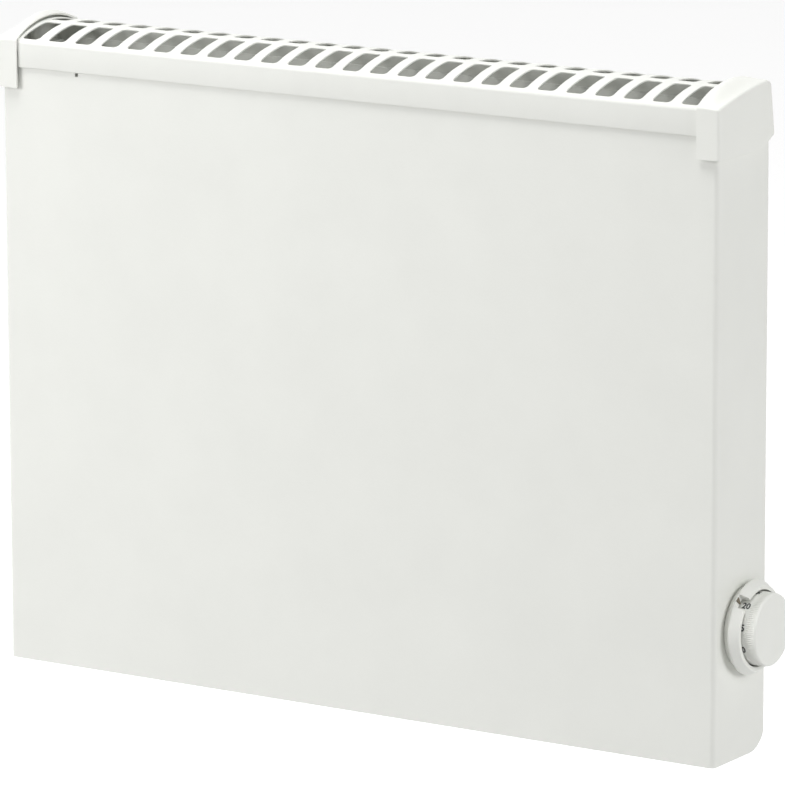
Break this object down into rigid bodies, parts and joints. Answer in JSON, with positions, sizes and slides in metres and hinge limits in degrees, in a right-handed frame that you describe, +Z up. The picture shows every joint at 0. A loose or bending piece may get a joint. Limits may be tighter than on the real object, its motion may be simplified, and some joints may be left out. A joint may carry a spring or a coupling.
{
  "type": "wall panel convector heater",
  "caption": "Slim white wall-mounted electric convector with an arched slotted top outlet, end caps, a side thermostat knob and a sprung-catch wall bracket.",
  "frame": {"origin": "centre of the wall bracket's back face, on the wall plane", "axes": "+X to the right along the panel, +Y back towards the wall, +Z up"},
  "size_m": [0.491, 0.0868, 0.3758],
  "materials": {
    "white_enamel": "white powder coat, satin",
    "white_moulding": "white moulded plastic, fine satin",
    "galvanised_steel": "zinc-coated sheet",
    "spring_steel": "bright spring wire",
    "element_aluminium": "extruded aluminium",
    "dark_moulding": "dark phenolic moulding",
    "brass": "pressed brass",
    "ceramic": "glazed ceramic",
    "grommet_rubber": "grey rubber",
    "lead_sleeve": "heat-resisting lead sleeve",
    "earth_sleeve": "green sleeve",
    "screw_steel": "zinc-plated screw"
  },
  "bodies": {
    "heater": {"casing": "white_enamel", "back_panel": "white_enamel", "top_grille": "white_enamel", "end_cap_right": "white_moulding", "end_cap_left": "white_moulding", "thermostat_bezel": "white_moulding", "thermostat_body": "dark_moulding", "thermostat_nut": "brass", "thermostat_terminal_1": "brass", "thermostat_terminal_2": "brass", "air_duct": "galvanised_steel", "element_fins": "element_aluminium", "element_sheath": "screw_steel", "element_insulator_left": "ceramic", "element_pin_left": "screw_steel", "element_insulator_right": "ceramic", "element_pin_right": "screw_steel", "thermal_limiter": "ceramic", "limiter_rivet_1": "element_aluminium", "limiter_rivet_2": "element_aluminium", "terminal_block": "ceramic", "cable_grommet": "grommet_rubber", "lead_live": "lead_sleeve", "lead_neutral": "lead_sleeve", "lead_earth": "earth_sleeve", "lead_switched": "lead_sleeve", "lead_element": "lead_sleeve", "wall_bracket": "galvanised_steel", "catch_spring_left": "spring_steel", "catch_spring_right": "spring_steel", "back_screw_1": "screw_steel", "back_screw_2": "screw_steel", "back_screw_3": "screw_steel", "back_screw_4": "screw_steel", "back_screw_5": "screw_steel", "back_screw_6": "screw_steel", "duct_screw_1": "screw_steel", "duct_screw_2": "screw_steel", "duct_screw_3": "screw_steel", "duct_screw_4": "screw_steel", "grille_screw_1": "screw_steel", "grille_screw_2": "screw_steel", "grille_screw_3": "screw_steel", "under_screw_1": "screw_steel", "under_screw_2": "screw_steel", "under_screw_3": "screw_steel", "cap_screw_1": "screw_steel", "cap_screw_2": "screw_steel", "bezel_screw_1": "screw_steel", "bezel_screw_2": "screw_steel", "block_screw_1": "screw_steel", "earth_screw_1": "screw_steel"},
    "knob_set": {"thermostat_knob": "white_moulding", "thermostat_spindle": "screw_steel"},
    "left_catch": {"catch_left": "white_moulding"},
    "right_catch": {"catch_right": "white_moulding"}
  },
  "joints": [
    {"name": "thermostat_turn", "type": "hinge", "parent": "heater", "child": "knob_set", "pos_m": [0.2355, -0.0515, -0.1115], "axis": [-1, 0, 0], "range_deg": [-144, 72]},
    {"name": "left_catch_slide", "type": "slide", "parent": "heater", "child": "left_catch", "axis": [0, 0, -1], "range_m": [0, 0.005], "stiffness_N_per_m": 600, "springref_m": -0.004, "deforming": ["catch_spring_left"]},
    {"name": "right_catch_slide", "type": "slide", "parent": "heater", "child": "right_catch", "axis": [0, 0, -1], "range_m": [0, 0.005], "stiffness_N_per_m": 600, "springref_m": -0.004, "deforming": ["catch_spring_right"]}
  ]
}
